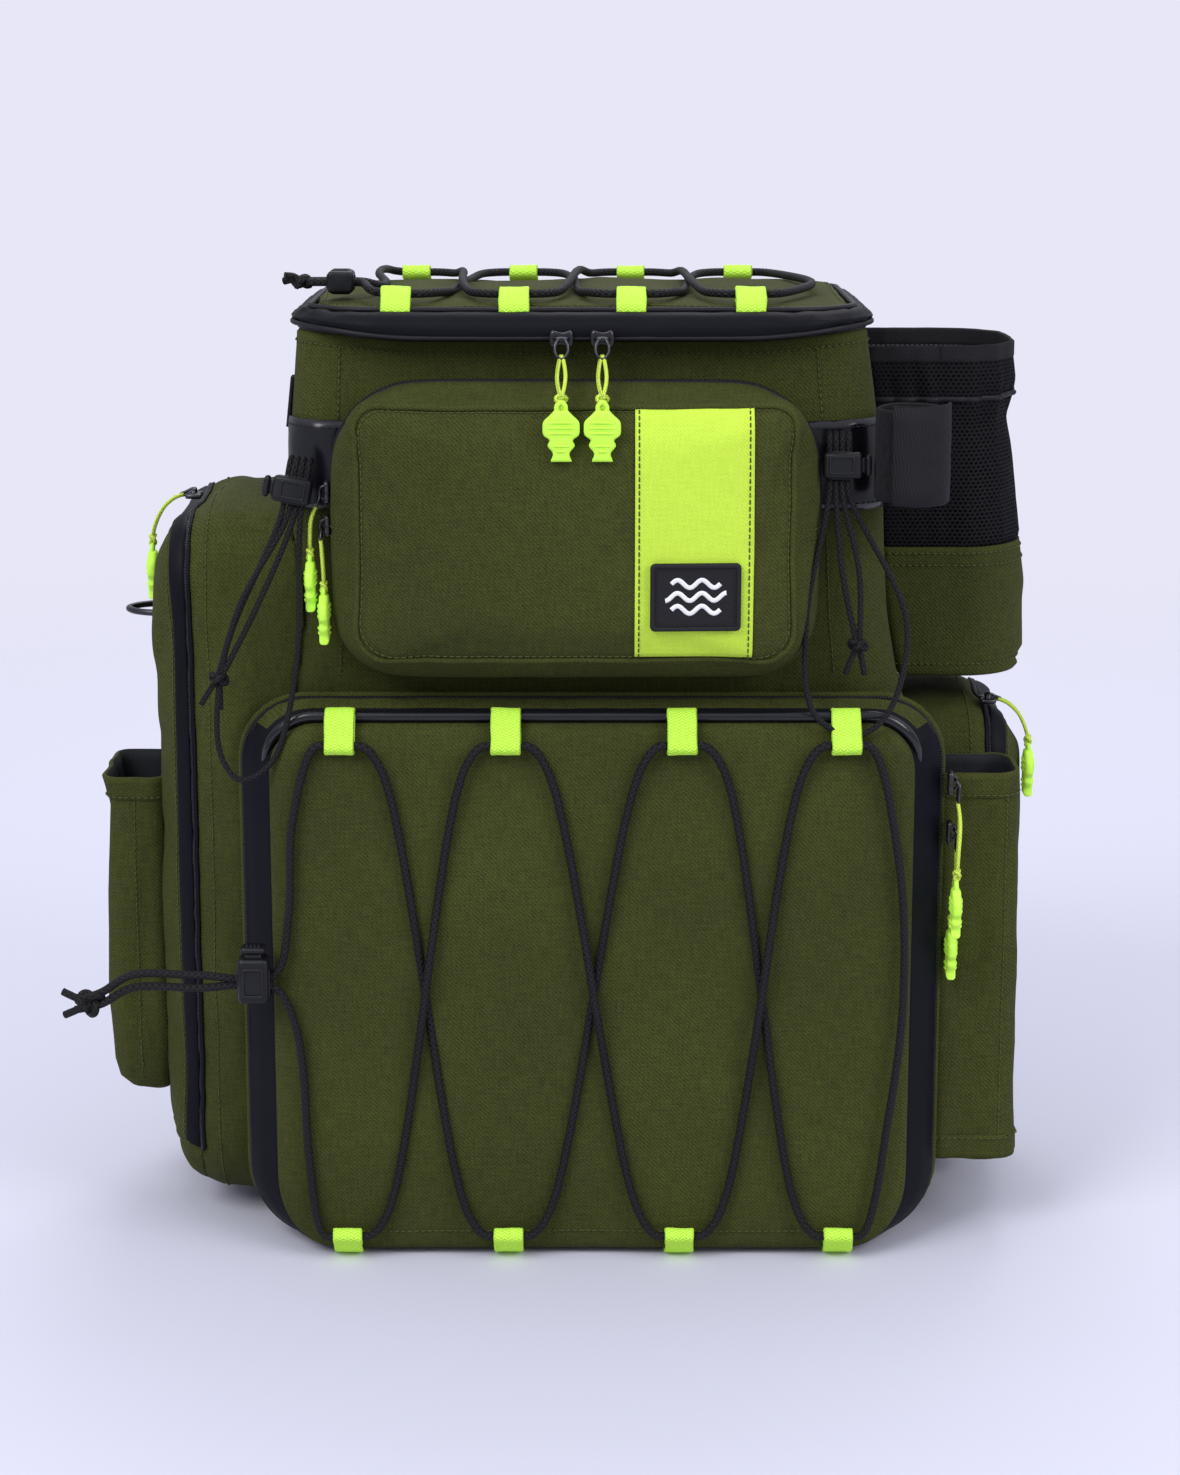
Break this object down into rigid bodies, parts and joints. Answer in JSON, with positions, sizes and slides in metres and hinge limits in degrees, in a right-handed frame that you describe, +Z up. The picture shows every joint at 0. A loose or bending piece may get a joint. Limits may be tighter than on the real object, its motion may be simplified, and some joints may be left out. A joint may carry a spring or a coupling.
{
  "type": "tackle backpack",
  "caption": "Upright fishing tackle backpack with a zipped laced lid, drop-down tray door, side pockets, bottle pocket, rod sleeve, cord locks and padded harness.",
  "frame": {"origin": "on the ground under the middle of the body's base", "axes": "+Z up, front faces -Y, +X to the right of someone looking at the front"},
  "size_m": [0.4981, 0.3169, 0.5033],
  "materials": {
    "olive_fabric": "woven twill, matte",
    "lining": "matte",
    "black_coated_fabric": "smooth polyurethane coated, satin",
    "black_mesh": "open mesh, matte",
    "black_webbing": "ribbed webbing, matte",
    "neon_webbing": "satin webbing",
    "neon_plastic": "satin moulding",
    "black_shock_cord": "braided, matte",
    "black_plastic": "fine texture",
    "dark_metal": "satin"
  },
  "bodies": {
    "root": {"front_panel": "olive_fabric", "left_side_panel": "olive_fabric", "right_side_panel": "olive_fabric", "back_panel": "olive_fabric", "bottom_panel": "olive_fabric", "compartment_floor": "lining", "reinforcement_band": "black_coated_fabric", "back_pad": "black_mesh", "left_pocket_gusset": "olive_fabric", "right_pocket_gusset": "olive_fabric", "bottle_pocket_cup": "olive_fabric", "bottle_pocket_mesh": "black_mesh", "rod_sleeve": "olive_fabric", "rod_strap": "black_webbing"},
    "lid": {"lid_panel": "olive_fabric", "lid_rim": "black_coated_fabric", "lid_tabs": "neon_webbing", "lid_lacing_cord": "black_shock_cord"},
    "lid_lock": {"lid_cord_lock": "black_plastic"},
    "lid_lock_button": {"lid_cord_lock_button": "black_plastic"},
    "lid_slider_left": {"lid_slider_left": "dark_metal"},
    "lid_slider_right": {"lid_slider_right": "dark_metal"},
    "lid_pull_left": {"lid_pull_left": "neon_plastic"},
    "lid_pull_right": {"lid_pull_right": "neon_plastic"},
    "door": {"door_panel": "olive_fabric", "door_zip_band": "black_coated_fabric", "door_tabs": "neon_webbing", "door_lacing_cord": "black_shock_cord"},
    "door_lock": {"door_cord_lock": "black_plastic"},
    "door_lock_button": {"door_cord_lock_button": "black_plastic"},
    "door_slider_upper": {"door_slider_upper": "dark_metal"},
    "door_slider_lower": {"door_slider_lower": "dark_metal"},
    "door_pull_upper": {"door_pull_upper": "neon_plastic"},
    "door_pull_lower": {"door_pull_lower": "neon_plastic"},
    "front_pocket": {"front_pocket_gusset": "olive_fabric", "front_pocket_panel": "olive_fabric", "accent_strip": "neon_webbing", "label_patch": "black_plastic"},
    "front_pocket_slider_upper": {"front_pocket_slider_upper": "neon_plastic"},
    "front_pocket_slider_lower": {"front_pocket_slider_lower": "neon_plastic"},
    "left_pocket": {"left_pocket_panel": "olive_fabric", "plier_pocket": "olive_fabric"},
    "d_ring": {"d_ring": "dark_metal"},
    "left_pocket_slider": {"left_pocket_slider": "neon_plastic"},
    "right_pocket": {"right_pocket_panel": "olive_fabric"},
    "right_pocket_slider": {"right_pocket_slider": "neon_plastic"},
    "rod_strap_flap": {"rod_strap_flap": "black_webbing"},
    "left_tool_loop": {"left_tool_loop": "black_shock_cord"},
    "left_loop_lock": {"left_loop_cord_lock": "black_plastic"},
    "left_loop_lock_button": {"left_loop_cord_lock_button": "black_plastic"},
    "right_tool_loop": {"right_tool_loop": "black_shock_cord"},
    "right_loop_lock": {"right_loop_cord_lock": "black_plastic"},
    "right_loop_lock_button": {"right_loop_cord_lock_button": "black_plastic"},
    "left_strap": {"left_shoulder_strap": "black_webbing", "sternum_socket": "black_webbing"},
    "right_strap": {"right_shoulder_strap": "black_webbing"},
    "sternum_plug": {"sternum_plug": "black_webbing"},
    "left_webbing": {"left_lower_webbing": "black_webbing"},
    "right_webbing": {"right_lower_webbing": "black_webbing"},
    "haul_handle": {"haul_handle": "black_webbing"}
  },
  "joints": [
    {"name": "lid_open", "type": "hinge", "parent": "root", "child": "lid", "pos_m": [0, 0.0993, 0.4622], "axis": [-1, 0, 0], "range_deg": [0, 110]},
    {"name": "lid_lock_slide", "type": "slide", "parent": "lid", "child": "lid_lock", "axis": [1, 0, 0], "range_m": [-0.005, 0.001]},
    {"name": "lid_lock_press", "type": "slide", "parent": "lid_lock", "child": "lid_lock_button", "axis": [0, -0.9994, 0.0349], "range_m": [0, 0.0022], "stiffness_N_per_m": 200, "springref_m": -0.002},
    {"name": "lid_zip_left", "type": "slide", "parent": "lid", "child": "lid_slider_left", "axis": [-1, 0, 0], "range_m": [0, 0.07]},
    {"name": "lid_zip_right", "type": "slide", "parent": "lid", "child": "lid_slider_right", "axis": [1, 0, 0], "range_m": [0, 0.07]},
    {"name": "lid_pull_left_swing", "type": "hinge", "parent": "lid_slider_left", "child": "lid_pull_left", "pos_m": [-0.015, -0.1116, 0.471], "axis": [-1, 0, 0], "range_deg": [0, 55]},
    {"name": "lid_pull_right_swing", "type": "hinge", "parent": "lid_slider_right", "child": "lid_pull_right", "pos_m": [0.005, -0.1116, 0.471], "axis": [-1, 0, 0], "range_deg": [0, 55]},
    {"name": "door_open", "type": "hinge", "parent": "root", "child": "door", "pos_m": [0, -0.121, 0.002], "axis": [1, 0, 0], "range_deg": [0, 80]},
    {"name": "door_lock_slide", "type": "slide", "parent": "door", "child": "door_lock", "axis": [-1, 0, 0], "range_m": [0, 0.045]},
    {"name": "door_lock_press", "type": "slide", "parent": "door_lock", "child": "door_lock_button", "axis": [0, 0, -1], "range_m": [0, 0.0022], "stiffness_N_per_m": 200, "springref_m": -0.002},
    {"name": "door_zip_upper", "type": "slide", "parent": "root", "child": "door_slider_upper", "axis": [0, 0, -1], "range_m": [0, 0.01]},
    {"name": "door_zip_lower", "type": "slide", "parent": "root", "child": "door_slider_lower", "axis": [0, 0, -1], "range_m": [0, 0.12]},
    {"name": "door_pull_upper_swing", "type": "hinge", "parent": "door_slider_upper", "child": "door_pull_upper", "pos_m": [0.1854, -0.101, 0.245], "axis": [0, -1, 0], "range_deg": [0, 60]},
    {"name": "door_pull_lower_swing", "type": "hinge", "parent": "door_slider_lower", "child": "door_pull_lower", "pos_m": [0.1854, -0.0986, 0.219], "axis": [0, -1, 0], "range_deg": [0, 60]},
    {"name": "front_pocket_open", "type": "hinge", "parent": "root", "child": "front_pocket", "pos_m": [0, -0.098, 0.298], "axis": [1, 0, 0], "range_deg": [0, 16]},
    {"name": "front_pocket_zip_upper", "type": "slide", "parent": "root", "child": "front_pocket_slider_upper", "axis": [0, 0, 1], "range_m": [0, 0.012]},
    {"name": "front_pocket_zip_lower", "type": "slide", "parent": "root", "child": "front_pocket_slider_lower", "axis": [0, 0, 1], "range_m": [0, 0.005]},
    {"name": "left_pocket_open", "type": "hinge", "parent": "root", "child": "left_pocket", "pos_m": [-0.2064, -0.005, 0.012], "axis": [0, -1, 0], "range_deg": [0, 45]},
    {"name": "d_ring_swing", "type": "hinge", "parent": "left_pocket", "child": "d_ring", "pos_m": [-0.227, -0.004, 0.319], "axis": [0, -1, 0], "range_deg": [-60, 80]},
    {"name": "left_pocket_zip", "type": "slide", "parent": "left_pocket", "child": "left_pocket_slider", "axis": [0, 1, 0], "range_m": [-0.012, 0.055]},
    {"name": "right_pocket_open", "type": "hinge", "parent": "root", "child": "right_pocket", "pos_m": [0.2104, 0.025, 0.016], "axis": [0, 1, 0], "range_deg": [0, 45]},
    {"name": "right_pocket_zip", "type": "slide", "parent": "right_pocket", "child": "right_pocket_slider", "axis": [0, 1, 0], "range_m": [0, 0.055]},
    {"name": "rod_strap_open", "type": "hinge", "parent": "root", "child": "rod_strap_flap", "pos_m": [0.1765, -0.1053, 0.417], "axis": [0, 0, 1], "range_deg": [0, 100]},
    {"name": "left_tool_loop_swing", "type": "hinge", "parent": "root", "child": "left_tool_loop", "pos_m": [-0.145, -0.1028, 0.411], "axis": [-1, 0, 0], "range_deg": [0, 60]},
    {"name": "left_loop_lock_slide", "type": "slide", "parent": "left_tool_loop", "child": "left_loop_lock", "axis": [-0.342, -0.1064, -0.9337], "range_m": [-0.004, 0.006]},
    {"name": "left_loop_lock_press", "type": "slide", "parent": "left_loop_lock", "child": "left_loop_lock_button", "axis": [0.9397, -0.0387, -0.3398], "range_m": [0, 0.0022], "stiffness_N_per_m": 200, "springref_m": -0.002},
    {"name": "right_tool_loop_swing", "type": "hinge", "parent": "root", "child": "right_tool_loop", "pos_m": [0.1224, -0.1038, 0.424], "axis": [-1, 0, 0], "range_deg": [0, 60]},
    {"name": "right_loop_lock_slide", "type": "slide", "parent": "right_tool_loop", "child": "right_loop_lock", "axis": [0, -0.0958, -0.9954], "range_m": [-0.004, 0.006]},
    {"name": "right_loop_lock_press", "type": "slide", "parent": "right_loop_lock", "child": "right_loop_lock_button", "axis": [-1, 0, 0], "range_m": [0, 0.0022], "stiffness_N_per_m": 200, "springref_m": -0.002},
    {"name": "left_strap_swing", "type": "hinge", "parent": "root", "child": "left_strap", "pos_m": [-0.07, 0.102, 0.432], "axis": [1, 0, 0], "range_deg": [0, 15]},
    {"name": "right_strap_swing", "type": "hinge", "parent": "root", "child": "right_strap", "pos_m": [0.07, 0.102, 0.432], "axis": [1, 0, 0], "range_deg": [0, 15]},
    {"name": "sternum_release", "type": "slide", "parent": "right_strap", "child": "sternum_plug", "axis": [1, 0, 0], "range_m": [0, 0.03]},
    {"name": "left_webbing_swing", "type": "hinge", "parent": "root", "child": "left_webbing", "pos_m": [-0.14, 0.098, 0.028], "axis": [-1, 0, 0], "range_deg": [0, 24]},
    {"name": "right_webbing_swing", "type": "hinge", "parent": "root", "child": "right_webbing", "pos_m": [0.14, 0.098, 0.028], "axis": [-1, 0, 0], "range_deg": [0, 24]},
    {"name": "haul_handle_fold", "type": "hinge", "parent": "root", "child": "haul_handle", "pos_m": [0, 0.099, 0.418], "axis": [-1, 0, 0], "range_deg": [0, 80]}
  ],
  "couplings": [
    {"joint": "lid_pull_left_swing", "follows": "front_pocket_open", "ratio": 3.2},
    {"joint": "lid_pull_right_swing", "follows": "front_pocket_open", "ratio": 3.2},
    {"joint": "right_strap_swing", "follows": "left_strap_swing", "ratio": 1},
    {"joint": "left_webbing_swing", "follows": "left_strap_swing", "ratio": 1.45},
    {"joint": "right_webbing_swing", "follows": "left_strap_swing", "ratio": 1.45}
  ]
}
